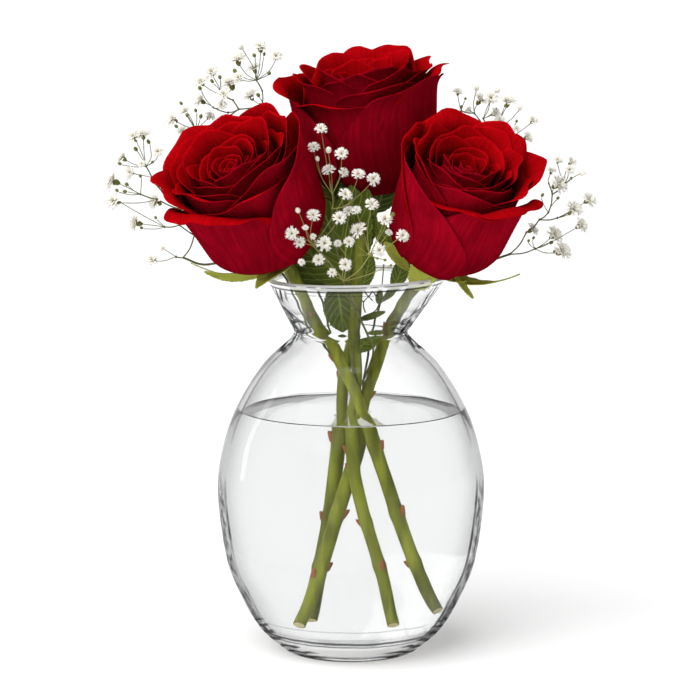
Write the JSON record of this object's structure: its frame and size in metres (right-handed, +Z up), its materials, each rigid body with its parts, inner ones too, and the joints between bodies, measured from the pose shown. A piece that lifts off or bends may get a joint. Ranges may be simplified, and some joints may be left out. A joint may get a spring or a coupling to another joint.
{
  "type": "roses in a vase",
  "caption": "Open red roses with baby's breath and a leafy shoot, standing in water in a clear bellied glass vase with a flared rim.",
  "frame": {"origin": "centre of the vase's flat base, on the surface that it stands on", "axes": "+Z up; -Y is the front, the side that the picture shows; +X is to the right seen from the front"},
  "size_m": [0.2683, 0.1663, 0.336],
  "materials": {
    "vase": "gloss",
    "water": "gloss",
    "petals": "satin",
    "stems": "satin",
    "leaves": "satin",
    "gypsophila": "matte"
  },
  "bodies": {
    "root": {"vase": "vase", "water": "water", "bloom_left": "petals", "bloom_right": "petals", "bloom_back": "petals", "stem_left": "stems", "stem_right": "stems", "stem_back": "stems", "leaf_shoot": "leaves", "spray_left_high": "gypsophila", "spray_left_low": "gypsophila", "spray_right_high": "gypsophila", "spray_right_low": "gypsophila", "spray_centre_high": "gypsophila", "spray_centre_low": "gypsophila", "spray_rear": "gypsophila"}
  },
  "joints": []
}
